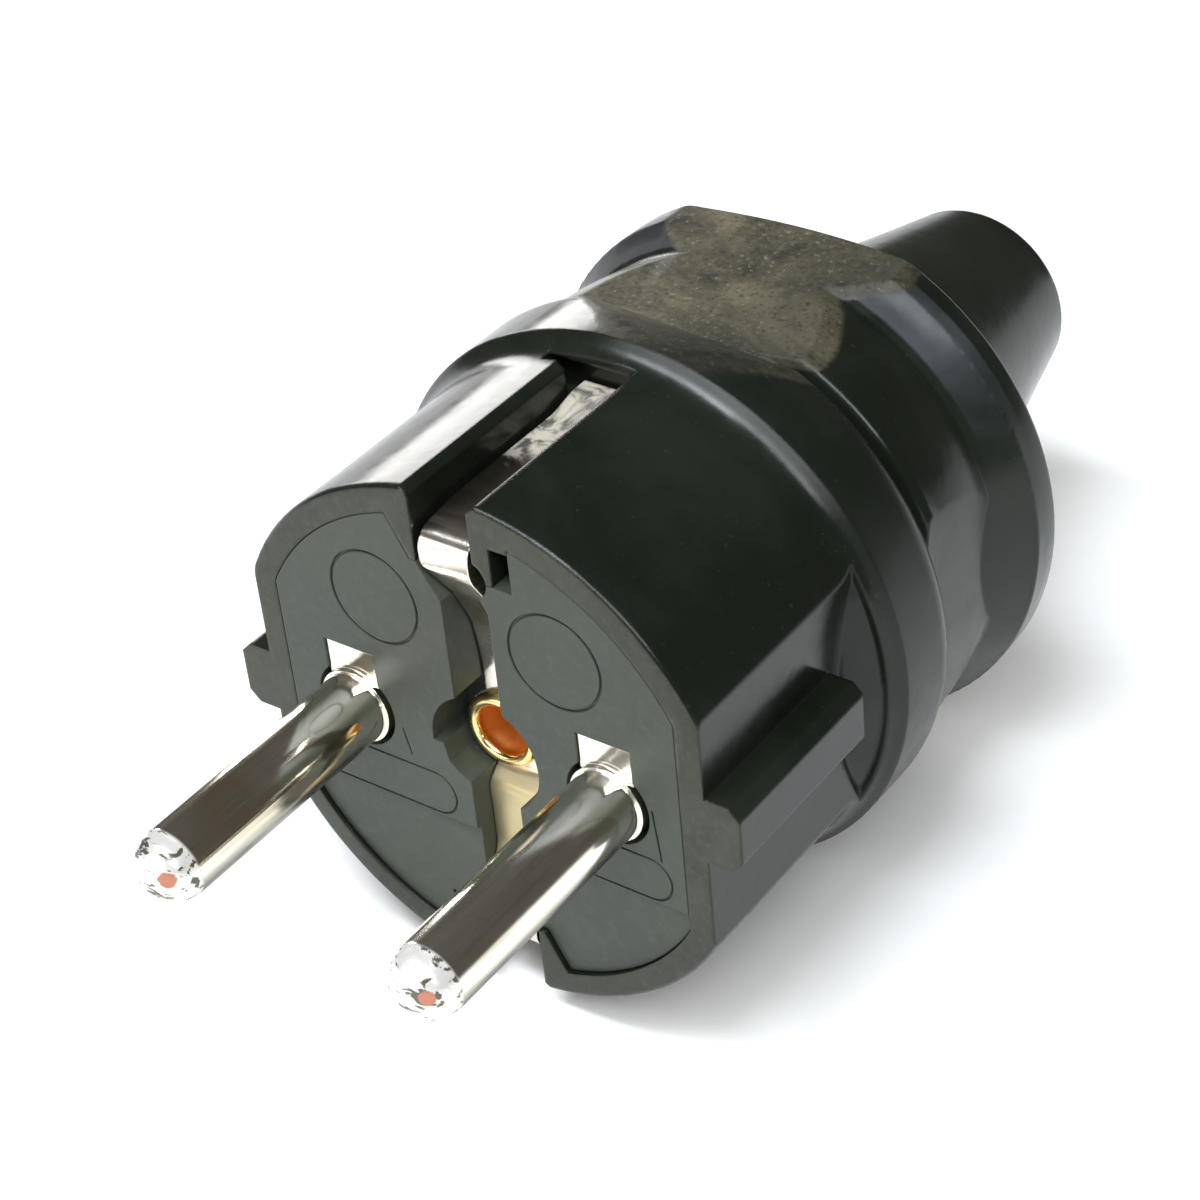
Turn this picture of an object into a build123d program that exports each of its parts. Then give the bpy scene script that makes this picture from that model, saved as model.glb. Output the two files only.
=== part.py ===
from build123d import *
import os

# Grounded two-pin plug, rewireable, lying with its axis level.
# X runs to the right as one faces the pins, the pins point to -Y, Z is up.
# The origin is the centre of the contact face, midway between the pins.
# Millimetres throughout.

os.makedirs("parts", exist_ok=True)

# ---- driving dimensions -------------------------------------------------
pin_r = 2.4                 # contact pin radius
pin_pitch = 19.0            # distance between the pin axes
pin_length = 19.0           # pin beyond the contact face
root_r = 2.6                # slightly thicker root of the pin at the face
px = pin_pitch / 2

skirt_r = 18.42             # plug skirt that enters the socket well
flare_y = 15.0              # where the skirt starts to flare into the flange
flange_y = 17.5             # front edge of the front flange
flange_r = 19.55
flange_back_y = 21.5        # start of the rounded rear edge of the front flange
waist_y = 24.3              # lip of the grip behind the front flange
waist_r = 18.55
valley_y = 32.1             # narrowest place of the grip
valley_r = 17.65
disc_y = 34.75              # front edge of the rear flange
disc_r = 19.2
disc_back_y = 37.1
end_y = 61.3                # end of the cable sleeve
end_r = 7.05
entry_r = 4.6               # cable entry bore

grip_flat_z = 17.1          # flats above and below the rear flange
facet_z, facet_y = 16.45, 23.0        # the grip facets slope gently from here up to the rear flange
grip_flat_x = 17.0          # flats left and right of the grip
side_flat_x = 16.4          # side flats of the skirt
rib_x = 18.8                # outer face of the side guide ribs
rib_top, rib_bottom = 3.0, -1.6
rib_len = 13.6

seat_r = 16.62              # pocket for the contact carrier
seat_x = 14.72
seat_y = 14.0               # depth of that pocket
fit = 0.06                  # gap round the carrier

groove_in, groove_out = -2.9, 1.4     # earth groove side walls, upper groove
groove_z = 13.15            # floor level of the earth grooves
lip_in, lip_out = -4.9, 4.05          # outside of the groove lips
lip_foot = -3.35                      # the long lip tapers to here
groove_floor = 14.85                  # groove floor behind the carrier pocket
hook_y = 17.3                         # end of the groove, under the flange
chamber_r, throat_r = 14.9, 14.0

carrier_y = 8.4             # back of the contact carrier
slot_floor = 3.6            # depth of the earth strip slot, upper part and middle
low_floor = 2.4             # and of its lower part
strip_t = 0.8

tail_w = 3.0                # half width of a pin tail
tail_top, tail_bottom = 2.0, -3.0
tail_end = 24.0
term_y = 19.6               # terminal screw position
screw_r = 1.75              # terminal screw thread
clamp_y0, clamp_y1 = 26.0, 32.0
clamp_x = 7.5               # cord clamp screw position
cord_r = 4.3
grommet_y0, grommet_y1 = 44.0, 50.0
grommet_r = 6.3
shank_r = 2.15              # outside of the hollow rivet's shank


def face_plane(y):
    # a plane facing the pins, at depth y behind the contact face; local x is X, local y is Z
    return Plane.XZ.offset(-y)


def span(x0, x1, z0, z1):
    # centre and size of a rectangle given by its sides
    return ((x0 + x1) / 2, (z0 + z1) / 2), (x1 - x0, z1 - z0)


# ---- housing ------------------------------------------------------------
# Room above one thumb slope: it rounds up from the grip facet to the front edge of the flange.
slope_tilt = 4.46
with BuildPart() as thumb_slope:
    with BuildSketch(Plane.YZ):
        with BuildLine():
            crest = [(y, flange_r - 0.0645 * (y - 17.3) ** 2) for y in (17.3, 18.6, 20.0, 21.4, 22.8, 24.2, 25.4)]
            Spline(*crest)
            Polyline(crest[-1], (25.4, 27), (16.0, 27), (16.0, flange_r + 0.05), crest[0])
        make_face()
    extrude(amount=16, both=True)

# Front length: skirt, flare and the front flange with its rounded rear edge.
with BuildPart() as front:
    with BuildSketch(Plane.XY) as front_profile:
        with BuildLine():
            Polyline((flange_r, flange_y), (flange_r, flange_back_y))
            ThreePointArc((flange_r, flange_back_y), (19.02, 23.05), (17.7, 23.9))
            Polyline((17.7, 23.9), (17.1, 24.15), (17.1, waist_y + 0.5), (0, waist_y + 0.5), (0, 0),
                     (skirt_r - 0.45, 0))
            ThreePointArc((skirt_r - 0.45, 0), (skirt_r - 0.13, 0.13), (skirt_r, 0.45))
            Line((skirt_r, 0.45), (skirt_r, flare_y))
            ThreePointArc((skirt_r, flare_y), (skirt_r + 0.28, 16.35), (flange_r - 0.12, 17.35))
            Line((flange_r - 0.12, 17.35), (flange_r, flange_y))
        make_face()
    revolve(axis=Axis.Y)
    # side flats of the skirt
    for s in (1, -1):
        with BuildSketch(face_plane(-1)):
            c, d = span(side_flat_x, side_flat_x + 5, -14, 14)
            with Locations((s * c[0], c[1])):
                Rectangle(*d)
        extrude(amount=-(flange_y - 1.0 + 1), mode=Mode.SUBTRACT)
    # sloping end of those flats, inside the skirt everywhere else
    with BuildSketch(Plane.XY):
        with BuildLine():
            Polyline((15.6, flange_y - 0.9), (18.35, flange_y - 0.9), (16.2, 14.2), (15.6, 14.2), (15.6, flange_y - 0.9))
        make_face()
    revolve(axis=Axis.Y)
    # thumb slopes that run up the flange from the grip facets, above and below
    add(Rot(0, slope_tilt, 0) * thumb_slope.part, mode=Mode.SUBTRACT)
    add(Rot(0, 180 + slope_tilt, 0) * thumb_slope.part, mode=Mode.SUBTRACT)

# Room between the grip facets: they slope up to the rear flange, whose own flats are level.
with BuildPart() as facets:
    with BuildSketch(Plane.YZ):
        with BuildLine():
            Polyline((facet_y, facet_z), (disc_y, grip_flat_z), (75, grip_flat_z), (75, -grip_flat_z),
                     (disc_y, -grip_flat_z), (facet_y, -facet_z), (facet_y, facet_z))
        make_face()
    extrude(amount=30, both=True)

# Grip: a slightly tapering round waist with four flats.
with BuildPart() as waist:
    with BuildSketch(Plane.XY):
        with BuildLine():
            Polyline((0, waist_y - 0.2), (17.3, waist_y - 0.2), (waist_r - 0.55, waist_y + 0.15))
            ThreePointArc((waist_r - 0.55, waist_y + 0.15), (waist_r - 0.1, waist_y + 0.45), (waist_r, waist_y + 1.0))
            ThreePointArc((waist_r, waist_y + 1.0), (18.3, 28.4), (valley_r, valley_y))
            Polyline((valley_r, valley_y), (valley_r, valley_y + 1.5), (0, valley_y + 1.5), (0, waist_y - 0.2))
        make_face()
    revolve(axis=Axis.Y)
    add(facets.part, mode=Mode.INTERSECT)
    with Locations((0, 28, 0)):
        Box(2 * grip_flat_x, 30, 60, mode=Mode.INTERSECT)

# Rear flange with its conical front face, and the tapering cable sleeve.
with BuildPart() as rear:
    with BuildSketch(Plane.XY):
        with BuildLine():
            Polyline((0, 29.2), (16.0, 29.2), (disc_r - 0.15, disc_y - 0.2))
            ThreePointArc((disc_r - 0.15, disc_y - 0.2), (disc_r - 0.02, disc_y - 0.06), (disc_r, disc_y + 0.1))
            Line((disc_r, disc_y + 0.1), (disc_r - 0.06, disc_back_y - 0.15))
            ThreePointArc((disc_r - 0.06, disc_back_y - 0.15), (disc_r - 0.2, disc_back_y + 0.14), (disc_r - 0.55, disc_back_y + 0.3))
            Line((disc_r - 0.55, disc_back_y + 0.3), (14.0, 39.2))
            ThreePointArc((14.0, 39.2), (12.6, 39.9), (11.9, 41.2))
            ThreePointArc((11.9, 41.2), (10.05, 48.0), (8.5, 54.6))
            Line((8.5, 54.6), (end_r + 0.12, end_y - 0.6))
            ThreePointArc((end_r + 0.12, end_y - 0.6), (end_r - 0.12, end_y - 0.14), (end_r - 0.6, end_y))
            Polyline((end_r - 0.6, end_y), (0, end_y), (0, 29.2))
        make_face()
    revolve(axis=Axis.Y)
    add(facets.part, mode=Mode.INTERSECT)

# Shallow snap groove round the carrier pocket; it stops at the flats and at the groove lips.
with BuildPart() as snap_ring:
    with BuildSketch(Plane.XY):
        with BuildLine():
            Polyline((15.0, 10.6), (16.97, 10.6), (16.97, 12.0), (15.0, 12.0), (15.0, 10.6))
        make_face()
    revolve(axis=Axis.Y)
    with Locations((0, 11, 0)):
        Box(2 * seat_x, 6, 60, mode=Mode.INTERSECT)
    for s in (1, -1):
        with Locations((s * (lip_in + lip_out) / 2, 11, s * (groove_z + 6))):
            Box(lip_out - lip_in, 6, 12, mode=Mode.SUBTRACT)


def lip_outline(s, gap=0.0):
    # outline of the lips that flank a groove, upper (s=1) or lower (s=-1), as points
    pts = [(lip_foot - gap * 1.13, groove_z - gap), (lip_out + gap, groove_z - gap), (lip_out + gap, 25),
           (lip_in - gap * 1.13, 25), (lip_in - gap * 1.13, 16.0)]
    return [(s * x, s * z) for x, z in pts]


with BuildPart() as housing_shell:
    add(front.part)
    add(waist.part)
    add(rear.part)
    # guide ribs on the side flats; the left one is the right one turned half round the axis
    for s in (1, -1):
        with BuildSketch(face_plane(0)):
            z0, z1 = (rib_bottom, rib_top) if s > 0 else (-rib_top, -rib_bottom)
            with BuildLine():
                xa, xb = s * 15.4, s * rib_x
                r = 0.75
                Polyline((xa, z0), (xb - s * r, z0), (xb, z0 + r), (xb, z1 - r), (xb - s * r, z1), (xa, z1), (xa, z0))
            make_face()
        extrude(amount=-rib_len)
    # pocket for the contact carrier; the groove lips stay standing in it
    with BuildSketch(face_plane(-0.5)) as pocket:
        Circle(seat_r)
        Rectangle(2 * seat_x, 60, mode=Mode.INTERSECT)
        for s in (1, -1):
            Polygon(*lip_outline(s), align=None, mode=Mode.SUBTRACT)
    extrude(amount=-(seat_y + 0.5), mode=Mode.SUBTRACT)
    add(snap_ring.part, mode=Mode.SUBTRACT)
    # wiring chamber and cable entry
    with BuildSketch(Plane.XY):
        with BuildLine():
            Polyline((0, seat_y - 0.1), (throat_r, seat_y - 0.1), (throat_r, 17.9), (chamber_r, 18.8), (chamber_r, 25),
                     (13.9, 32), (10.0, 40),
                     (grommet_r, grommet_y0), (grommet_r, grommet_y1), (entry_r, grommet_y1), (entry_r, end_y - 0.5),
                     (entry_r + 0.5, end_y + 0.01), (0, end_y + 0.01), (0, seat_y - 0.1))
        make_face()
    revolve(axis=Axis.Y, mode=Mode.SUBTRACT)
    # earth grooves, upper and lower
    for s in (1, -1):
        for z, top, depth in ((groove_z, 25, seat_y - 0.1), (groove_floor, 25, 16.2), (groove_floor, 18.0, hook_y)):
            with BuildSketch(face_plane(-1)):
                c, d = span(groove_in, groove_out, z, top)
                with Locations((s * c[0], s * c[1])):
                    Rectangle(*d)
            extrude(amount=-(depth + 1), mode=Mode.SUBTRACT)
        # bevelled mouth along the outside of the groove
        with BuildSketch(face_plane(-1)):
            Polygon(*[(s * x, s * z) for x, z in ((groove_in, 17.6), (groove_in - 0.6, 18.12), (groove_in - 0.6, 25),
                                                  (groove_out + 0.55, 25), (groove_out + 0.55, 18.34), (groove_out, 17.8))],
                    align=None)
        extrude(amount=-(16.2 + 1), mode=Mode.SUBTRACT)
        # recess behind the end of one groove wall, partly under the flange
        for top, y1 in ((25, 16.2), (18.0, hook_y)):
            with BuildSketch(face_plane(15.6)):
                c, d = span(-4.6, groove_in + 0.5, 15.3, top)
                with Locations((s * c[0], s * c[1])):
                    Rectangle(*d)
            extrude(amount=-(y1 - 15.6), mode=Mode.SUBTRACT)
        # pocket and round hole in one lip of each groove
        with BuildSketch(face_plane(-1)):
            c, d = span(2.7, lip_out, groove_z - 0.4, 15.8)
            with Locations((s * c[0], s * c[1])):
                Rectangle(*d)
        extrude(amount=-4.4, mode=Mode.SUBTRACT)
        with BuildSketch(face_plane(-1)):
            with Locations((s * 0.9, s * 13.1)):
                Circle(1.35)
        extrude(amount=-5.0, mode=Mode.SUBTRACT)

housing_shell.part.label = "housing_shell"
export_step(housing_shell.part, "parts/housing_shell.step")


# ---- contact carrier ----------------------------------------------------
def carrier_outline(grow=0.0):
    # outline of the carrier stack inside the pocket, drawn in the current sketch
    Circle(seat_r - fit + grow)
    Rectangle(2 * (seat_x - fit), 60, mode=Mode.INTERSECT)
    for s in (1, -1):
        Polygon(*lip_outline(s, fit), align=None, mode=Mode.SUBTRACT)


lock = (8.6, 9.4)           # carrier screws: this place and the opposite one

with BuildPart() as contact_carrier:
    with BuildSketch(face_plane(0)):
        carrier_outline()
    extrude(amount=-carrier_y)
    # keyhole openings for the pins with their square shoulders
    with BuildSketch(face_plane(-1)):
        for s in (1, -1):
            with Locations((s * px, 0)):
                Circle(2.95)
            with Locations((s * px, 2.25)):
                Rectangle(3.9, 4.5)
    extrude(amount=-(carrier_y + 2), mode=Mode.SUBTRACT)
    # pockets at the back for the pin collars
    with BuildSketch(face_plane(5.35)):
        for s in (1, -1):
            with Locations((s * px, 0.65)):
                Rectangle(7.5, 8.6)
    extrude(amount=-4, mode=Mode.SUBTRACT)
    # round recess for the rivet head, with one corner left standing
    with BuildSketch(face_plane(-1)):
        with Locations((0.45, 0)):
            Circle(4.0)
        Polygon((-6, -0.4), (-2.78, -0.4), (-2.45, -1.75), (-1.9, -2.3), (-0.98, -2.8), (-0.98, -6), (-6, -6),
                align=None, mode=Mode.SUBTRACT)
    extrude(amount=-(slot_floor + 1), mode=Mode.SUBTRACT)
    # slot for the earth strip: deep above and in the middle, shallower below
    with BuildSketch(face_plane(-1)):
        Polygon((-1.4, 0), (-1.4, 10.7), (-3.0, 13.2), (-3.0, 14), (1.3, 14), (1.3, 12.6), (2.15, 11.0), (2.15, 0),
                (2.7, -1), (2.7, -4.5), (-0.98, -4.5), (-0.98, -1), align=None)
    extrude(amount=-(slot_floor + 1), mode=Mode.SUBTRACT)
    with BuildSketch(face_plane(-1)):
        Polygon((2.7, -4.4), (2.7, -10.4), (3.0, -13.2), (3.0, -14), (-1.3, -14), (-1.3, -12.6), (-0.98, -11.0),
                (-0.98, -4.4), align=None)
    extrude(amount=-(low_floor + 1), mode=Mode.SUBTRACT)
    # the other part of the round holes in the groove lips
    with BuildSketch(face_plane(-1)):
        for s in (1, -1):
            with Locations((s * 0.9, s * 13.1)):
                Circle(1.35)
    extrude(amount=-5.0, mode=Mode.SUBTRACT)
    # rivet hole and the two screw holes from the back
    with BuildSketch(face_plane(-1)):
        Circle(shank_r + 0.05)
    extrude(amount=-(carrier_y + 2), mode=Mode.SUBTRACT)
    with BuildSketch(face_plane(3.4)):
        for s in (1, -1):
            with Locations((s * lock[0], s * lock[1])):
                Circle(1.52)
    extrude(amount=-8, mode=Mode.SUBTRACT)
    # lowered field below the label strips
    with BuildSketch(face_plane(-1)):
        with Locations((0, -6.5 - 8)):
            Rectangle(40, 16)
    extrude(amount=-1.35, mode=Mode.SUBTRACT)
    # thin moulded ring lines on the face
    with BuildSketch(face_plane(-1)):
        for s in (1, -1):
            with Locations((s * 6.65, 9.2)):
                Circle(3.35)
                Circle(3.15, mode=Mode.SUBTRACT)
    extrude(amount=-1.18, mode=Mode.SUBTRACT)
    # label strips outlined by a line, with rounded right ends
    with BuildSketch(face_plane(-1)):
        for x0, x1 in ((-12.9, -3.95), (6.6, 12.1)):
            with BuildLine():
                Polyline((x0, -3.1), (x1, -3.1))
                ThreePointArc((x1, -3.1), (x1 + 1.65, -4.75), (x1, -6.4))
                Polyline((x1, -6.4), (x0, -6.4), (x0, -6.25), (x1, -6.25))
                ThreePointArc((x1, -6.25), (x1 + 1.5, -4.75), (x1, -3.25))
                Polyline((x1, -3.25), (x0, -3.25), (x0, -3.1))
            make_face()
        for x, z, length, lean in ((12.87, -1.2, 3.8, 6.3), (-5.74, -1.45, 2.05, 13.2)):
            with Locations((x, z)):
                Rectangle(0.14, length, rotation=lean)
    extrude(amount=-1.18, mode=Mode.SUBTRACT)

contact_carrier.part.label = "contact_carrier"
export_step(contact_carrier.part, "parts/contact_carrier.step")

# ---- back plate with the cord clamp seat --------------------------------
with BuildPart() as carrier_backplate:
    with BuildSketch(face_plane(carrier_y)):
        carrier_outline()
    extrude(amount=-(seat_y - carrier_y))
    # snap bead
    with BuildSketch(face_plane(10.68)):
        carrier_outline(grow=0.34)
    extrude(amount=-1.24)
    # openings for the pin tails, the earth terminal and the screws
    with BuildSketch(face_plane(carrier_y - 1)):
        for s in (1, -1):
            with Locations((s * px, (tail_top + tail_bottom) / 2)):
                Rectangle(2 * tail_w + 0.12, tail_top - tail_bottom + 0.12)
        c, d = span(-3.6, 3.6, -4.4, 3.6)
        with Locations(c):
            Rectangle(*d)
        for s in (1, -1):
            with Locations((s * lock[0], s * lock[1])):
                Circle(1.62)
    extrude(amount=-8, mode=Mode.SUBTRACT)
    with BuildSketch(face_plane(12.0)):
        for s in (1, -1):
            with Locations((s * lock[0], s * lock[1])):
                Circle(2.9)
    extrude(amount=-4, mode=Mode.SUBTRACT)
    # tongue to the clamp seat
    with BuildSketch(face_plane(seat_y - 1)):
        c, d = span(-5.4, 5.4, -9.3, -7.3)
        with Locations(c):
            Rectangle(*d)
    extrude(amount=-(clamp_y0 - seat_y + 2))
    # clamp seat with the cord trough
    with BuildSketch(face_plane(clamp_y0)):
        with BuildLine():
            Polyline((-9.8, -1.1), (-9.8, -7.4), (-7.8, -9.3), (7.8, -9.3), (9.8, -7.4), (9.8, -1.1), (-9.8, -1.1))
        make_face()
        Circle(cord_r, mode=Mode.SUBTRACT)
    extrude(amount=-(clamp_y1 - clamp_y0))
    with BuildSketch(Plane.XY.offset(-12)):
        with Locations((clamp_x, 29), (-clamp_x, 29)):
            Circle(1.52)
    extrude(amount=12, mode=Mode.SUBTRACT)

carrier_backplate.part.label = "carrier_backplate"
export_step(carrier_backplate.part, "parts/carrier_backplate.step")


# ---- contact pins -------------------------------------------------------
# One nickel-plated pin: round pin with a domed tip, square shoulder, collar and terminal tail.
with BuildPart() as pin:
    with BuildSketch(Plane.XY):
        with BuildLine():
            Polyline((0, -pin_length), (0, 0.75), (root_r, 0.75), (root_r, -0.2), (pin_r, -0.2), (pin_r, -pin_length + 2.0))
            Spline((pin_r, -pin_length + 2.0), (2.02, -pin_length + 0.75), (1.15, -pin_length + 0.12), (0, -pin_length),
                   tangents=((-0.42, -1), (-1, 0)))
        make_face()
    revolve(axis=Axis.Y)
    with BuildSketch(face_plane(0.15)):
        Circle(root_r)
        with Locations((0, 2.2)):
            Rectangle(3.76, 4.4)
    extrude(amount=-(5.4 - 0.15))
    with BuildSketch(face_plane(5.4)):
        with Locations((0, 0.65)):
            Rectangle(7.4, 8.5)
    extrude(amount=-(carrier_y - 5.4))
    with BuildSketch(face_plane(carrier_y)):
        with Locations((0, (tail_top + tail_bottom) / 2)):
            Rectangle(2 * tail_w, tail_top - tail_bottom)
    extrude(amount=-(tail_end - carrier_y))
    with BuildSketch(Plane.XY.offset(-6)):
        with Locations((0, term_y)):
            Circle(screw_r + 0.03)
    extrude(amount=12, mode=Mode.SUBTRACT)


def cheese_head(head_r, head_h, shank_r, shank_len, slot_w, slot_d):
    # screw standing on its point at its own origin, head up, slot across X
    with BuildPart() as screw:
        with BuildSketch(Plane.XY):
            Circle(shank_r)
        extrude(amount=shank_len)
        with BuildSketch(Plane.XY.offset(shank_len)):
            Circle(head_r)
        extrude(amount=head_h)
        chamfer(screw.edges().group_by(Axis.Z)[-1], 0.25)
        chamfer(screw.edges().group_by(Axis.Z)[0], 0.3)
        with BuildSketch(Plane.XY.offset(shank_len + head_h - slot_d)):
            Rectangle(2 * head_r + 1, slot_w)
        extrude(amount=slot_d + 1, mode=Mode.SUBTRACT)
    return screw


terminal_screw = cheese_head(2.9, 2.1, screw_r, 5.6, 0.8, 1.0)

with BuildPart() as terminal_washer:
    with BuildSketch(Plane.XY):
        RectangleRounded(6.2, 6.4, 0.6)
        Circle(screw_r + 0.08, mode=Mode.SUBTRACT)
    extrude(amount=1.0)

lock_screw = cheese_head(2.8, 1.9, 1.5, 8.2, 0.8, 0.9)
clamp_screw = cheese_head(2.6, 1.8, 1.5, 14.5, 0.8, 0.9)


def put(piece, name, place):
    # place a copy of a finished piece, label it and write its file
    moved = place * piece.part
    moved.label = name
    export_step(moved, "parts/%s.step" % name)
    return moved


put(pin, "pin_left", Pos(-px, 0, 0))
put(pin, "pin_right", Pos(px, 0, 0))
washer_z = tail_top
for side, s in (("left", -1), ("right", 1)):
    put(terminal_washer, "terminal_washer_%s" % side, Pos(s * px, term_y, washer_z))
    put(terminal_screw, "terminal_screw_%s" % side, Pos(s * px, term_y, washer_z + 1.0 - 5.6))

# ---- carrier screws, driven from the back -------------------------------
for name, s in (("carrier_screw_upper", 1), ("carrier_screw_lower", -1)):
    put(lock_screw, name, Pos(s * lock[0], 12.0 - 8.2, s * lock[1]) * Rot(-90, 0, 0))

# ---- earth strip --------------------------------------------------------
# Side view: an arm in each groove, a rounded front bend and a long web in the slot.
mid_y = slot_floor - strip_t / 2
low_y = low_floor - strip_t / 2
head_y = slot_floor - strip_t
strip_run = [(17.0, 15.8), (15.7, 15.8), (13.6, 15.3), (3.6, 15.3), (0.35, 14.85), (0.4, 13.1), (2.75, 8.0), (mid_y, 4.8),
             (mid_y, -2.95), (low_y, -4.0), (low_y, -8.6), (0.75, -12.0), (0.45, -14.8), (3.6, -15.3), (13.6, -15.3),
             (15.7, -15.8), (17.0, -15.8)]
strip_bends = [0.8, 1.5, 5.0, 0.95, 2.0, 2.5, 3.0, 0.6, 0.6, 2.0, 2.0, 0.95, 5.0, 1.5, 0.8]
with BuildPart() as earth_strip:
    with BuildSketch(Plane.YZ):
        with BuildLine():
            FilletPolyline(*strip_run, radius=strip_bends)
        trace(line_width=strip_t)
    extrude(amount=6, both=True)
    # outline as one faces the pins: each arm stands to one side of the web
    with BuildSketch(face_plane(-3)):
        Polygon((-2.55, 18), (-2.55, 12.9), (-1.28, 10.9), (-1.28, 1.5), (-0.92, -1.5), (-0.92, -11.5), (-1.05, -12.5),
                (-1.05, -18), (2.55, -18), (2.55, -12.5), (2.5, -11.5), (2.5, -1.5), (2.02, 1.5), (2.02, 9.9),
                (1.05, 12.6), (1.05, 18), align=None)
    extrude(amount=-21, mode=Mode.INTERSECT)
    # round boss under the rivet head
    with BuildSketch(face_plane(head_y)):
        Circle(2.72)
    extrude(amount=-strip_t)
    with BuildSketch(face_plane(-1)):
        Circle(shank_r + 0.05)
    extrude(amount=-8, mode=Mode.SUBTRACT)

earth_strip.part.label = "earth_strip"
export_step(earth_strip.part, "parts/earth_strip.step")

# ---- hollow rivet through the middle ------------------------------------
with BuildPart() as earth_rivet:
    with BuildSketch(Plane.XY):
        with BuildLine():
            Polyline((1.8, 9.6), (1.8, head_y - 0.3))
            ThreePointArc((1.8, head_y - 0.3), (2.17, head_y - 0.72), (2.62, head_y - 0.28))
            Polyline((2.62, head_y - 0.28), (2.62, head_y), (shank_r, head_y), (shank_r, 9.0), (2.8, 9.0), (2.8, 9.35),
                     (2.55, 9.6), (1.8, 9.6))
        make_face()
    revolve(axis=Axis.Y)

earth_rivet.part.label = "earth_rivet"
export_step(earth_rivet.part, "parts/earth_rivet.step")

# ---- earth terminal behind the carrier ----------------------------------
with BuildPart() as earth_terminal:
    with BuildSketch(face_plane(carrier_y)):
        c, d = span(-3.3, 3.3, -4.2, 3.3)
        with Locations(c):
            Rectangle(*d)
        Circle(shank_r + 0.05, mode=Mode.SUBTRACT)
    extrude(amount=-0.6)
    with BuildSketch(face_plane(carrier_y)):
        c, d = span(-3.0, 3.0, -4.2, -3.4)
        with Locations(c):
            Rectangle(*d)
    extrude(amount=-(tail_end - carrier_y))
    with BuildSketch(Plane.XY.offset(-6.0)):
        with Locations((0, term_y)):
            Circle(2.7)
    extrude(amount=2.2)
    with BuildSketch(Plane.XY.offset(-7)):
        with Locations((0, term_y)):
            Circle(screw_r + 0.03)
    extrude(amount=8, mode=Mode.SUBTRACT)

earth_terminal.part.label = "earth_terminal"
export_step(earth_terminal.part, "parts/earth_terminal.step")

earth_screw = cheese_head(2.9, 2.1, screw_r, 4.4, 0.8, 1.0)
with BuildPart() as earth_washer:
    with BuildSketch(Plane.XY):
        RectangleRounded(5.9, 6.2, 0.6)
        Circle(screw_r + 0.08, mode=Mode.SUBTRACT)
    extrude(amount=1.0)
put(earth_washer, "earth_washer", Pos(0, term_y, -3.4))
put(earth_screw, "earth_screw", Pos(0, term_y, -2.4 - 4.4))

# ---- cord clamp ---------------------------------------------------------
with BuildPart() as cord_clamp_bar:
    with BuildSketch(face_plane(clamp_y0)):
        with BuildLine():
            Polyline((-9.8, 1.1), (-9.8, 5.2), (-8.6, 6.4), (8.6, 6.4), (9.8, 5.2), (9.8, 1.1), (-9.8, 1.1))
        make_face()
        Circle(cord_r, mode=Mode.SUBTRACT)
    extrude(amount=-(clamp_y1 - clamp_y0))
    with BuildSketch(Plane.XY.offset(-1)):
        with Locations((clamp_x, 29), (-clamp_x, 29)):
            Circle(1.62)
    extrude(amount=12, mode=Mode.SUBTRACT)
    fillet(edges().filter_by(Axis.X).group_by(Axis.Z)[-1], 0.5)

cord_clamp_bar.part.label = "cord_clamp_bar"
export_step(cord_clamp_bar.part, "parts/cord_clamp_bar.step")
for side, s in (("left", -1), ("right", 1)):
    put(clamp_screw, "cord_clamp_screw_%s" % side, Pos(s * clamp_x, 29, 6.4 - 14.5))

with BuildPart() as cord_grommet:
    with BuildSketch(Plane.XY):
        with BuildLine():
            Polyline((4.4, grommet_y0 + 0.1), (grommet_r - 0.05, grommet_y0 + 0.1), (grommet_r - 0.05, grommet_y1 - 0.02),
                     (4.4, grommet_y1 - 0.02), (4.4, grommet_y0 + 0.1))
        make_face()
    revolve(axis=Axis.Y)

cord_grommet.part.label = "cord_grommet"
export_step(cord_grommet.part, "parts/cord_grommet.step")
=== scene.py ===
import bpy
import bmesh
import math
from mathutils import Matrix, Vector


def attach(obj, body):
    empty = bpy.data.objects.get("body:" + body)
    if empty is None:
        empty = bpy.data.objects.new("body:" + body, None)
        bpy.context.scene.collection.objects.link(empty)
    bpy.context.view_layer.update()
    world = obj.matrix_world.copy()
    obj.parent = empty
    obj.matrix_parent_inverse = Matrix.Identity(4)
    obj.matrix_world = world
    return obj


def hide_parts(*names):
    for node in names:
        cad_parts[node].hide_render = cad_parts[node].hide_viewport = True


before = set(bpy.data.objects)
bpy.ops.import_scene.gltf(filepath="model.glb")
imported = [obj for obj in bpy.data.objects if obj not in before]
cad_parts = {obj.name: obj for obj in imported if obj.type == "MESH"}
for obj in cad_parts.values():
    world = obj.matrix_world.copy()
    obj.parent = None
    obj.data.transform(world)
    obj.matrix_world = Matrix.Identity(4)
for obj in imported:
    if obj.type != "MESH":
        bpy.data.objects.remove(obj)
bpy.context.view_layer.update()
sc = bpy.context.scene
MM = 0.001


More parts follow.
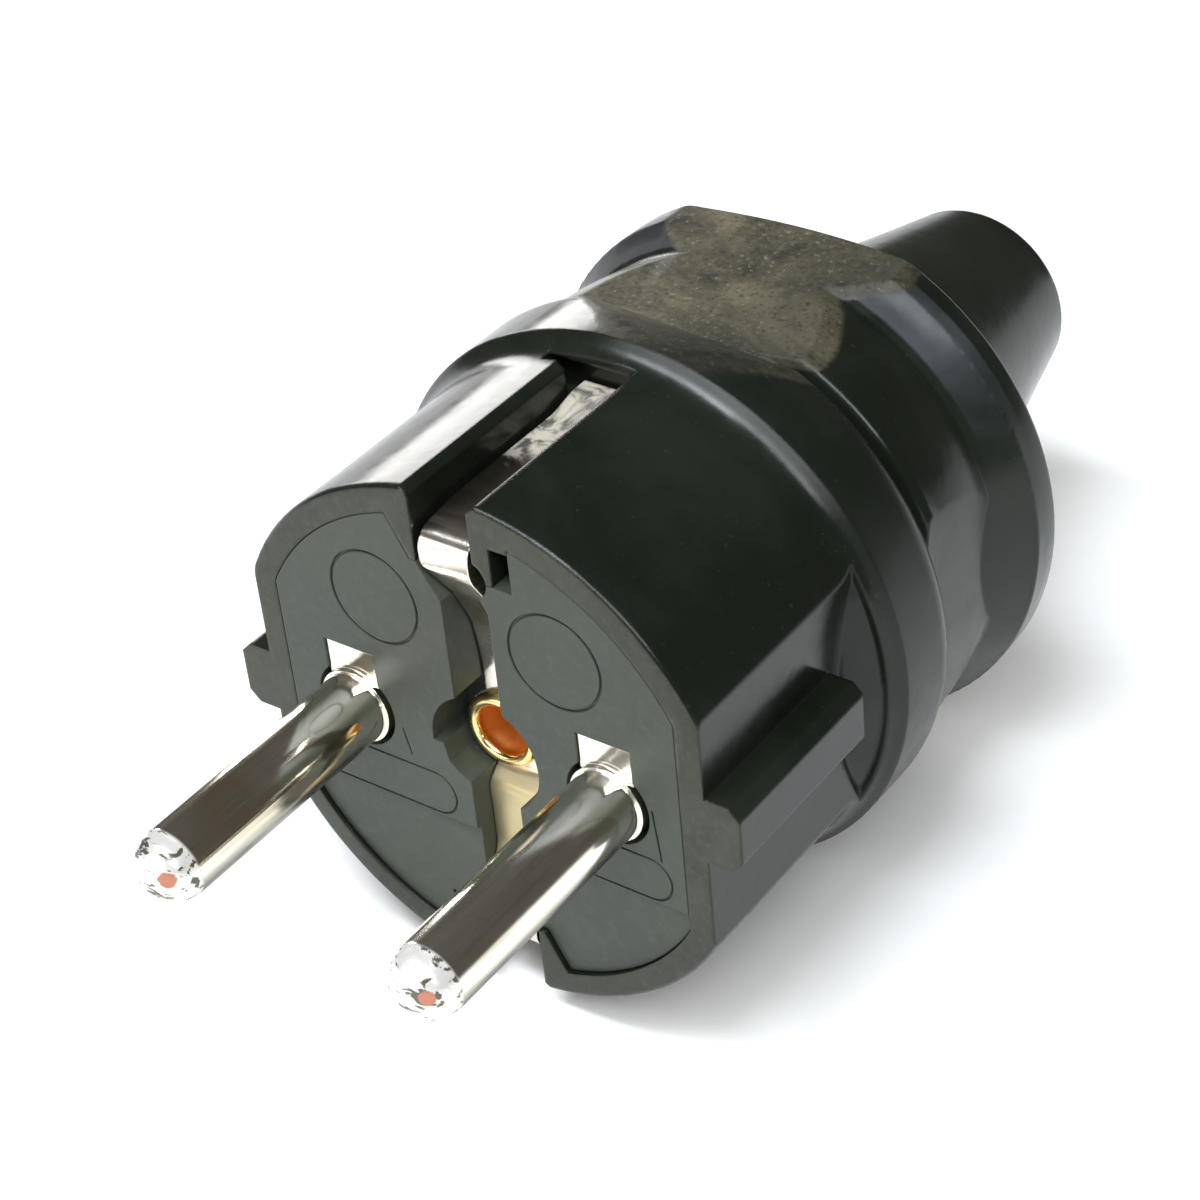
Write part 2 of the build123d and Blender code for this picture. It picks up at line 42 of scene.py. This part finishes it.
# ---------------------------------------------------------------- node helpers
class Mat:
    """A procedural material: a Principled shader and short ways to feed it."""

    def __init__(self, name):
        self.m = bpy.data.materials.new(name)
        self.m.use_nodes = True
        self.t = self.m.node_tree
        self.p = self.t.nodes["Principled BSDF"]
        self.co = self.t.nodes.new("ShaderNodeTexCoord").outputs["Object"]
        self.geo = self.t.nodes.new("ShaderNodeNewGeometry")

    def set(self, **kw):
        for k, v in kw.items():
            s = self.p.inputs[k.replace("_", " ")]
            s.default_value = (*v, 1) if isinstance(v, tuple) else v

    def link(self, a, b):
        self.t.links.new(a, b)

    def put(self, value, socket):
        if isinstance(value, (int, float)):
            socket.default_value = value
        elif isinstance(value, tuple):
            socket.default_value = (*value, 1) if len(value) == 3 and len(socket.default_value) == 4 else value
        else:
            self.link(value, socket)

    def noise(self, scale, detail=4.0, rough=0.55, warp=0.0, stretch=None, co=None):
        n = self.t.nodes.new("ShaderNodeTexNoise")
        n.inputs["Scale"].default_value = scale
        n.inputs["Detail"].default_value = detail
        n.inputs["Roughness"].default_value = rough
        n.inputs["Distortion"].default_value = warp
        src = co or self.co
        if stretch:
            mp = self.t.nodes.new("ShaderNodeMapping")
            mp.inputs["Scale"].default_value = stretch
            self.link(src, mp.inputs["Vector"])
            src = mp.outputs["Vector"]
        self.link(src, n.inputs["Vector"])
        return n.outputs["Fac"]

    def voronoi(self, scale, rand=1.0, out="Distance"):
        n = self.t.nodes.new("ShaderNodeTexVoronoi")
        n.inputs["Scale"].default_value = scale
        n.inputs["Randomness"].default_value = rand
        self.link(self.co, n.inputs["Vector"])
        return n.outputs[out]

    def ramp(self, fac, stops, smooth=True):
        r = self.t.nodes.new("ShaderNodeValToRGB")
        cr = r.color_ramp
        cr.interpolation = "EASE" if smooth else "LINEAR"
        while len(cr.elements) < len(stops):
            cr.elements.new(0.5)
        for e, (pos, col) in zip(cr.elements, stops):
            e.position = pos
            e.color = (*col, 1) if isinstance(col, tuple) else (col, col, col, 1)
        self.link(fac, r.inputs["Fac"])
        return r.outputs["Color"]

    def range(self, v, a, b, c, d):
        n = self.t.nodes.new("ShaderNodeMapRange")
        n.interpolation_type = "SMOOTHSTEP"
        self.put(v, n.inputs["Value"])
        for k, x in zip(("From Min", "From Max", "To Min", "To Max"), (a, b, c, d)):
            n.inputs[k].default_value = x
        return n.outputs["Result"]

    def mix(self, fac, a, b):
        n = self.t.nodes.new("ShaderNodeMix")
        n.data_type = "RGBA"
        self.put(fac, n.inputs[0])
        self.put(a, n.inputs[6])
        self.put(b, n.inputs[7])
        return n.outputs[2]

    def math(self, op, a, b=0.0, clamp=False):
        n = self.t.nodes.new("ShaderNodeMath")
        n.operation = op
        n.use_clamp = clamp
        self.put(a, n.inputs[0])
        self.put(b, n.inputs[1])
        return n.outputs[0]

    def xyz(self, v=None):
        n = self.t.nodes.new("ShaderNodeSeparateXYZ")
        self.link(v or self.co, n.inputs[0])
        return n.outputs

    def bump(self, height, strength, distance, normal=None):
        n = self.t.nodes.new("ShaderNodeBump")
        n.inputs["Strength"].default_value = strength
        n.inputs["Distance"].default_value = distance
        self.link(height, n.inputs["Height"])
        if normal is not None:
            self.link(normal, n.inputs["Normal"])
        return n.outputs["Normal"]

    def soften(self, radius):
        n = self.t.nodes.new("ShaderNodeBevel")
        n.samples = 6
        n.inputs["Radius"].default_value = radius
        return n.outputs["Normal"]


# ---------------------------------------------------------------- materials
def shell_black():
    # one black moulding: glossy on the round sides, dull brown and speckled on the grip facets and rear flats,
    # dull green-grey on the front rim
    m = Mat("shell_black")
    x, y, z = m.xyz()
    height = m.math("ABSOLUTE", z)
    cloud = m.noise(90, 5, 0.6, 0.3)
    patch = m.noise(150, 5, 0.6, 0.6)
    fine = m.noise(900, 3, 0.6)
    grain = m.noise(1500, 4, 0.65)
    speck = m.noise(2900, 2, 0.5)
    # level of the facets above each place of the grip, flats and scoops
    facet = m.math("MINIMUM", m.math("ADD", m.math("MULTIPLY", y, 0.05532), 0.0151776), 0.0171)
    run = m.math("SUBTRACT", y, 0.0173)
    hump = m.math("SUBTRACT", 0.01961, m.math("MULTIPLY", m.math("MULTIPLY", run, run), 64.7))
    scoop = m.math("SUBTRACT", hump, m.math("MULTIPLY", m.math("MULTIPLY", x, m.math("SIGN", z)), 0.078))
    level = m.math("MAXIMUM", facet, m.math("MULTIPLY", scoop, m.math("LESS_THAN", y, 0.0242)))
    gap = m.math("SUBTRACT", height, level)
    ragged = m.math("MULTIPLY", m.math("SUBTRACT", patch, 0.5), 0.0007)
    gap = m.math("ADD", m.math("ADD", gap, ragged), m.range(x, 0.002, 0.009, 0.0, 0.00035))
    flat = m.range(gap, -0.00036, -0.00008, 0.0, 1.0)
    flat = m.math("MULTIPLY", flat, m.range(y, 0.01745, 0.0176, 0.0, 1.0))
    flat = m.math("MULTIPLY", flat, m.range(y, 0.0386, 0.0382, 0.0, 1.0))
    side = m.math("MULTIPLY", m.range(x, -0.001, 0.004, 0.0, 0.35), m.range(y, 0.0265, 0.0225, 0.0, 1.0))
    flat = m.math("MULTIPLY", flat, m.math("SUBTRACT", 1.0, side))
    nx, ny, nz = m.xyz(m.geo.outputs["Normal"])
    rim = m.math("MULTIPLY", m.range(ny, -0.75, -0.95, 0.0, 1.0), m.range(y, 0.0012, 0.0004, 0.0, 1.0))
    body = m.ramp(cloud, [(0.32, (0.0060, 0.0078, 0.0054)), (0.7, (0.0115, 0.0142, 0.0100))])
    body = m.mix(m.range(speck, 0.68, 0.78, 0.0, 0.3), body, (0.045, 0.045, 0.036))
    dull = m.ramp(patch, [(0.36, (0.012, 0.0120, 0.0078)), (0.5, (0.048, 0.0430, 0.0265)), (0.66, (0.100, 0.089, 0.054))])
    dull = m.mix(m.range(grain, 0.46, 0.66, 0.0, 0.5), dull, (0.100, 0.086, 0.053))
    dull = m.mix(m.range(speck, 0.62, 0.72, 0.0, 0.6), dull, (0.20, 0.175, 0.12))
    # painted shade: the facet colour is darkened towards the front
    dull = m.mix(m.range(y, 0.0235, 0.0195, 0.0, 0.45), dull, (0.014, 0.0145, 0.011))
    dull = m.mix(m.range(speck, 0.42, 0.32, 0.0, 0.6), dull, (0.010, 0.009, 0.007))
    # painted shade: the facet colour is darkened towards the right side
    dull = m.mix(m.range(x, -0.001, 0.006, 0.0, 0.42), dull, (0.016, 0.0165, 0.012))
    front = m.ramp(patch, [(0.3, (0.0225, 0.0255, 0.0165)), (0.7, (0.0365, 0.0405, 0.0270))])
    front = m.mix(m.range(grain, 0.45, 0.7, 0.0, 0.4), front, (0.066, 0.066, 0.050))
    # the slope before the rear flange is duller, and its lighter bluish-grey colour is a painted reflection of the
    # sky
    cone = m.math("MULTIPLY", m.range(y, 0.0325, 0.0328, 0.0, 1.0), m.range(y, 0.0359, 0.0356, 0.0, 1.0))
    cone = m.math("MULTIPLY", cone, m.range(height, 0.0060, 0.0150, 0.0, 1.0))
    body = m.mix(cone, body, m.ramp(patch, [(0.35, (0.016, 0.018, 0.020)), (0.65, (0.034, 0.037, 0.040))]))
    col = m.mix(flat, m.mix(rim, body, front), dull)
    m.put(col, m.p.inputs["Base Color"])
    r = m.math("ADD", m.range(cloud, 0.3, 0.72, 0.13, 0.22), m.range(fine, 0.35, 0.7, 0.0, 0.04))
    scuff = m.range(m.noise(55, 6, 0.7, 1.2, (1.0, 0.18, 1.0)), 0.6, 0.75, 0.0, 0.16)
    r = m.math("ADD", r, scuff)
    r = m.math("ADD", r, m.math("MULTIPLY", m.math("MAXIMUM", flat, m.math("MULTIPLY", rim, 0.7)), 0.34), clamp=True)
    r = m.math("ADD", r, m.math("MULTIPLY", m.math("MULTIPLY", cone, m.math("SUBTRACT", 1.0, flat)), 0.20))
    # the front flange's crest is rubbed on the side away from the bright one
    crest = m.math("MULTIPLY", m.range(y, 0.0166, 0.0172, 0.0, 1.0), m.range(y, 0.0235, 0.0215, 0.0, 1.0))
    crest = m.math("MULTIPLY", m.math("MULTIPLY", crest, m.range(x, -0.003, 0.003, 0.0, 1.0)), m.math("SUBTRACT", 1.0, flat))
    r = m.math("ADD", r, m.math("MULTIPLY", crest, 0.16))
    m.put(r, m.p.inputs["Roughness"])
    m.set(IOR=1.42, Specular_IOR_Level=0.38)
    nrm = m.soften(0.00036)
    nrm = m.bump(m.noise(330, 3, 0.5), 0.10, 0.0003, nrm)
    rough = m.math("MULTIPLY", grain, m.math("ADD", m.math("MULTIPLY", flat, 1.0), 0.10))
    nrm = m.bump(rough, 0.26, 0.00012, nrm)
    m.put(nrm, m.p.inputs["Normal"])
    return m.m


def carrier_plastic(name="carrier_matt", lift=1.0):
    m = Mat(name)
    cloud = m.noise(110, 5, 0.6, 0.4)
    grain = m.noise(1300, 4, 0.6)
    speck = m.noise(3000, 2, 0.5)
    body = m.ramp(cloud, [(0.3, tuple(lift * c for c in (0.0225, 0.0285, 0.0200))),
                          (0.7, tuple(lift * c for c in (0.0345, 0.0420, 0.0300)))])
    col = m.mix(m.range(grain, 0.45, 0.7, 0.0, 0.35), body, (0.052, 0.060, 0.046))
    col = m.mix(m.range(speck, 0.68, 0.78, 0.0, 0.4), col, (0.10, 0.105, 0.09))
    m.put(col, m.p.inputs["Base Color"])
    m.put(m.range(cloud, 0.3, 0.7, 0.44, 0.56), m.p.inputs["Roughness"])
    m.set(IOR=1.5)
    nrm = m.soften(0.00014)
    nrm = m.bump(grain, 0.14, 0.0001, nrm)
    nrm = m.bump(m.noise(260, 3, 0.5), 0.12, 0.0003, nrm)
    m.put(nrm, m.p.inputs["Normal"])
    return m.m


def pin_metal():
    # plated pins: brown and near-white streaks along the length painted as reflections, painted shade on the
    # underside, a scratched dome whose whitish colour is a painted highlight, with a painted red reflection spot
    m = Mat("pin_nickel")
    x, y, z = m.xyz()
    nx, ny, nz = m.xyz(m.geo.outputs["Normal"])
    streak = m.noise(900, 5, 0.65, 0.3, (1.0, 0.045, 1.0))
    fine = m.noise(2600, 3, 0.6, 0.0, (1.0, 0.10, 1.0))
    cloud = m.noise(170, 5, 0.6, 0.8, (1.0, 0.35, 1.0))
    dash = m.noise(1150, 3, 0.6, 0.8, (0.45, 1.0, 1.3))
    col = m.ramp(cloud, [(0.3, (0.76, 0.68, 0.54)), (0.5, (0.90, 0.85, 0.74)), (0.7, (0.97, 0.95, 0.88))])
    # painted reflections: brown and near-white streaks along the pin's length
    col = m.mix(m.range(streak, 0.50, 0.66, 0.0, 0.55), col, (0.46, 0.38, 0.27))
    col = m.mix(m.range(streak, 0.44, 0.34, 0.0, 0.8), col, (0.97, 0.95, 0.90))
    # painted shade: the downward-facing side of each pin, away from the face, is darkened to a near-black grey
    shaded_underside = m.math("MULTIPLY", m.range(nz, 0.12, -0.38, 0.0, 1.0), m.range(y, -0.0008, -0.0030, 0.0, 1.0))
    shaded_underside = m.math("MULTIPLY", shaded_underside, m.range(cloud, 0.30, 0.52, 0.72, 1.0))
    underside_shade = m.mix(m.range(fine, 0.40, 0.62, 0.0, 1.0), (0.07, 0.068, 0.06), (0.18, 0.175, 0.16))
    col = m.mix(shaded_underside, col, underside_shade)
    # the dome's whitish colour with less metal sheen is a painted highlight; the dark dashes on it are scratches
    tip = m.range(y, -0.01695, -0.01715, 0.0, 1.0)
    dome = m.mix(m.range(dash, 0.545, 0.60, 0.0, 1.0), (0.74, 0.72, 0.68), (0.11, 0.10, 0.075))
    col = m.mix(tip, col, dome)
    # painted reflection: a small copper-red spot on each dome
    side = m.math("SUBTRACT", m.math("ABSOLUTE", x), 0.0095)
    side = m.math("MULTIPLY", side, m.math("SIGN", x))
    off = m.math("ADD", m.math("POWER", m.math("SUBTRACT", side, 0.00125), 2.0), m.math("POWER", m.math("SUBTRACT", z, 0.0005), 2.0))
    off = m.math("ADD", m.math("SQRT", off), m.math("MULTIPLY", m.math("SUBTRACT", dash, 0.5), 0.0005))
    red_reflection = m.math("MULTIPLY", m.range(off, 0.00058, 0.00044, 0.0, 1.0), m.range(y, -0.0179, -0.0181, 0.0, 1.0))
    col = m.mix(red_reflection, col, (0.42, 0.17, 0.105))
    m.put(col, m.p.inputs["Base Color"])
    m.put(m.math("SUBTRACT", 1.0, m.math("MULTIPLY", tip, 0.55)), m.p.inputs["Metallic"])
    r = m.math("ADD", m.range(cloud, 0.3, 0.75, 0.10, 0.17), m.range(streak, 0.5, 0.72, 0.0, 0.10))
    r = m.math("ADD", r, m.math("ADD", m.math("MULTIPLY", shaded_underside, 0.16), m.math("MULTIPLY", tip, 0.10)))
    m.put(r, m.p.inputs["Roughness"])
    nrm = m.soften(0.00012)
    nrm = m.bump(streak, 0.10, 0.00005, nrm)
    nrm = m.bump(m.math("MULTIPLY", dash, tip), 0.3, 0.00012, nrm)
    m.put(nrm, m.p.inputs["Normal"])
    return m.m


def strip_metal():
    # sprung strip: bright at the bends, with brown tarnish patches; painted shade in dark brown on the front of the
    # arms and painted light in pale cream on their rear; cream in the lower slot
    m = Mat("strip_nickel")
    x, y, z = m.xyz()
    cloud = m.noise(160, 5, 0.6, 0.6)
    patch = m.noise(330, 5, 0.65, 0.8)
    streak = m.noise(500, 4, 0.6, 0.2, (0.12, 1.0, 1.0))
    arm = m.math("MULTIPLY", m.range(m.math("ABSOLUTE", z), 0.0144, 0.0150, 0.0, 1.0), m.range(y, 0.0006, 0.0022, 0.0, 1.0))
    # painted shade: the front of each arm, down in its groove, is darkened to brown
    front = m.math("MULTIPLY", arm, m.range(m.math("ADD", y, m.math("MULTIPLY", patch, 0.006)), 0.0140, 0.0105, 0.0, 1.0))
    low = m.math("MULTIPLY", m.range(z, -0.0022, -0.0034, 0.0, 1.0), m.range(z, -0.0135, -0.0125, 0.0, 1.0))
    col = m.ramp(cloud, [(0.3, (0.78, 0.71, 0.60)), (0.7, (0.92, 0.88, 0.80))])
    col = m.mix(m.range(patch, 0.52, 0.70, 0.0, 0.6), col, (0.62, 0.50, 0.36))
    col = m.mix(front, col, (0.27, 0.235, 0.18))
    col = m.mix(low, col, (0.57, 0.48, 0.285))
    # painted light: the rear of each arm is lifted to a pale cream and made less metallic
    lit_rear_arm = m.math("MULTIPLY", m.math("SUBTRACT", arm, front), m.range(patch, 0.42, 0.56, 0.15, 1.0))
    col = m.mix(lit_rear_arm, col, (0.66, 0.60, 0.49))
    m.put(col, m.p.inputs["Base Color"])
    m.put(m.math("SUBTRACT", 1.0, m.math("MULTIPLY", lit_rear_arm, 0.7)), m.p.inputs["Metallic"])
    r = m.math("ADD", m.range(cloud, 0.3, 0.75, 0.16, 0.26), m.range(streak, 0.5, 0.72, 0.0, 0.10))
    r = m.math("ADD", r, m.math("ADD", m.math("MULTIPLY", low, 0.18), m.math("MULTIPLY", arm, 0.10)))
    m.put(r, m.p.inputs["Roughness"])
    nrm = m.soften(0.00016)
    nrm = m.bump(streak, 0.08, 0.00005, nrm)
    nrm = m.bump(m.noise(420, 3, 0.5), 0.12, 0.0002, nrm)
    m.put(nrm, m.p.inputs["Normal"])
    return m.m


def brass():
    m = Mat("rivet_brass")
    x, y, z = m.xyz()
    r2 = m.math("SQRT", m.math("ADD", m.math("POWER", x, 2.0), m.math("POWER", z, 2.0)))
    inside = m.math("MULTIPLY", m.range(r2, 0.00186, 0.00178, 0.0, 1.0), m.range(y, 0.0024, 0.0031, 0.0, 1.0))
    cloud = m.noise(600, 4, 0.6, 0.5)
    outer = m.ramp(cloud, [(0.3, (0.83, 0.60, 0.24)), (0.7, (0.95, 0.76, 0.38))])
    # painted light: inside the bore a deeper orange colour stands in for light bounced around the bore
    bore_glow_tint = m.ramp(cloud, [(0.3, (0.92, 0.40, 0.09)), (0.7, (1.0, 0.52, 0.16))])
    m.put(m.mix(inside, outer, bore_glow_tint), m.p.inputs["Base Color"])
    m.set(Metallic=1.0)
    # painted glow: a faint orange emission inside the bore
    m.p.inputs["Emission Color"].default_value = (1.0, 0.42, 0.08, 1)
    m.put(m.math("MULTIPLY", inside, 0.06), m.p.inputs["Emission Strength"])
    m.put(m.math("ADD", m.range(cloud, 0.3, 0.7, 0.14, 0.22), m.math("MULTIPLY", inside, 0.30)), m.p.inputs["Roughness"])
    m.put(m.bump(m.noise(900, 3, 0.5), 0.08, 0.0001, m.soften(0.0001)), m.p.inputs["Normal"])
    return m.m


def steel(name="screw_steel"):
    m = Mat(name)
    cloud = m.noise(400, 4, 0.6, 0.4)
    m.put(m.ramp(cloud, [(0.3, (0.50, 0.49, 0.46)), (0.7, (0.66, 0.65, 0.62))]), m.p.inputs["Base Color"])
    m.set(Metallic=1.0)
    m.put(m.range(cloud, 0.3, 0.7, 0.24, 0.36), m.p.inputs["Roughness"])
    m.put(m.bump(m.noise(1500, 3, 0.5, 0, (1, 0.1, 1)), 0.08, 0.0001), m.p.inputs["Normal"])
    return m.m


def rubber():
    m = Mat("grommet_rubber")
    cloud = m.noise(300, 4, 0.6)
    m.put(m.ramp(cloud, [(0.3, (0.012, 0.012, 0.012)), (0.7, (0.022, 0.022, 0.021))]), m.p.inputs["Base Color"])
    m.put(m.range(cloud, 0.3, 0.7, 0.6, 0.75), m.p.inputs["Roughness"])
    m.put(m.bump(m.noise(1400, 4, 0.6), 0.2, 0.0001), m.p.inputs["Normal"])
    return m.m


SHELL = shell_black()
CARRIER = carrier_plastic()
PIN = pin_metal()
STRIP = strip_metal()
BRASS, STEEL, RUBBER = brass(), steel(), rubber()

# ---------------------------------------------------------------- pieces
slots = {"housing_shell": "shell", "contact_carrier": "carrier", "pin_left": "pins", "pin_right": "pins",
         "earth_strip": "earth_strip", "earth_rivet": "rivet"}
finish_of = {"housing_shell": [SHELL], "contact_carrier": [CARRIER], "pin_left": [PIN], "pin_right": [PIN],
             "earth_strip": [STRIP], "earth_rivet": [BRASS], "carrier_backplate": [CARRIER], "cord_clamp_bar": [CARRIER],
             "earth_terminal": [STRIP], "cord_grommet": [RUBBER]}


def visual(name):
    """A welded, smooth-shaded copy that stands for the CAD node of that name."""
    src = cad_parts[name]
    me = src.data.copy()
    me.name = "look_" + name
    bm = bmesh.new()
    bm.from_mesh(me)
    bmesh.ops.remove_doubles(bm, verts=bm.verts, dist=4e-7)
    bmesh.ops.dissolve_degenerate(bm, edges=bm.edges, dist=1e-7)
    bm.to_mesh(me)
    bm.free()
    if "custom_normal" in me.attributes:
        me.attributes.remove(me.attributes["custom_normal"])
    me.shade_smooth()
    me.set_sharp_from_angle(angle=math.radians(24))
    me.materials.clear()
    for m in finish_of[name]:
        me.materials.append(m)
    o = bpy.data.objects.new("look_" + name, me)
    sc.collection.objects.link(o)
    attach(o, "root")
    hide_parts(name)
    return o


for name in slots:
    visual(name)
for name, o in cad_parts.items():
    if name not in slots:
        o.data.materials.clear()
        o.data.materials.append(finish_of.get(name, [STEEL])[0])

# ---------------------------------------------------------------- floor
fm = Mat("floor_paper")
soft = fm.noise(6, 4, 0.55)
fibre = fm.noise(700, 4, 0.6)
fc = fm.ramp(soft, [(0.3, (0.91, 0.905, 0.895)), (0.7, (0.935, 0.93, 0.92))])
fm.put(fm.mix(fm.range(fibre, 0.4, 0.7, 0.0, 0.05), fc, (0.80, 0.80, 0.79)), fm.p.inputs["Base Color"])
fm.set(Roughness=0.85)
fm.put(fm.bump(fibre, 0.05, 0.0002), fm.p.inputs["Normal"])
fl = bpy.data.meshes.new("floor")
fl.from_pydata([(-3, -3, 0), (3, -3, 0), (3, 3, 0), (-3, 3, 0)], [], [(0, 1, 2, 3)])
floor = bpy.data.objects.new("floor", fl)
floor.location.z = -0.01956
fl.materials.append(fm.m)
sc.collection.objects.link(floor)

# ---------------------------------------------------------------- light
world = bpy.data.worlds.new("studio")
sc.world = world
world.use_nodes = True
bg = world.node_tree.nodes["Background"]
bg.inputs[0].default_value = (1.0, 0.93, 0.84, 1)
bg.inputs[1].default_value = 0.09


def softbox(name, direction, distance, w, h, energy, colour=(1, 1, 1), along=(1, 0, 0), aim=(0, 0.018, 0)):
    # a rectangular light facing the plug, its longer side turned as near to the given way as it can be
    light = bpy.data.lights.new(name, "AREA")
    light.shape = "RECTANGLE"
    light.size, light.size_y = w, h
    light.energy = energy
    light.color = colour
    o = bpy.data.objects.new(name, light)
    sc.collection.objects.link(o)
    out = Vector(direction).normalized()
    side = Vector(along)
    side = (side - side.dot(out) * out).normalized()
    turn = Matrix((side, out.cross(side), out)).transposed().to_4x4()
    turn.translation = Vector(aim) + out * distance
    o.matrix_world = turn
    o.visible_camera = False
    return o


softbox("top", (0.40, -0.50, 0.80), 0.55, 0.50, 0.15, 2.7, (0.93, 0.97, 1.0), (0.77, -0.06, -0.33))
softbox("crescent", (-0.10, -0.36, 0.93), 0.55, 0.42, 0.09, 3.0, (0.87, 0.93, 1.0), (1, 0, 0))
softbox("back_left", (-0.80, 0.60, 0.22), 0.55, 0.26, 0.17, 1.1, (1.0, 0.99, 0.97), (0.634, 0.72, 0))
softbox("front", (-0.30, -0.90, 0.30), 0.60, 0.50, 0.26, 1.3, (1.0, 0.985, 0.96), (1, 0, 0))
fill = softbox("fill", (0.75, 0.50, 0.60), 0.75, 0.60, 0.60, 1.0, (1.0, 0.99, 0.97), (1, 0, 0))
fill.visible_glossy = False

# ---------------------------------------------------------------- camera
cam = bpy.data.cameras.new("camera")
cam.lens, cam.sensor_width = 84.157, 36
cam.clip_start = 0.001
camera = bpy.data.objects.new("camera", cam)
sc.collection.objects.link(camera)
right = Vector((0.8140274, 0.57493573, -0.08251236))
up = Vector((-0.28307897, 0.51675724, 0.80797788))
back = Vector((0.50717421, -0.63435862, 0.58340677))
place = Matrix((right, up, back)).transposed().to_4x4()
place.translation = Vector((0.088927, -0.098155, 0.105265))
camera.matrix_world = place
sc.camera = camera
sc.view_settings.view_transform = "Standard"
sc.view_settings.look = "None"
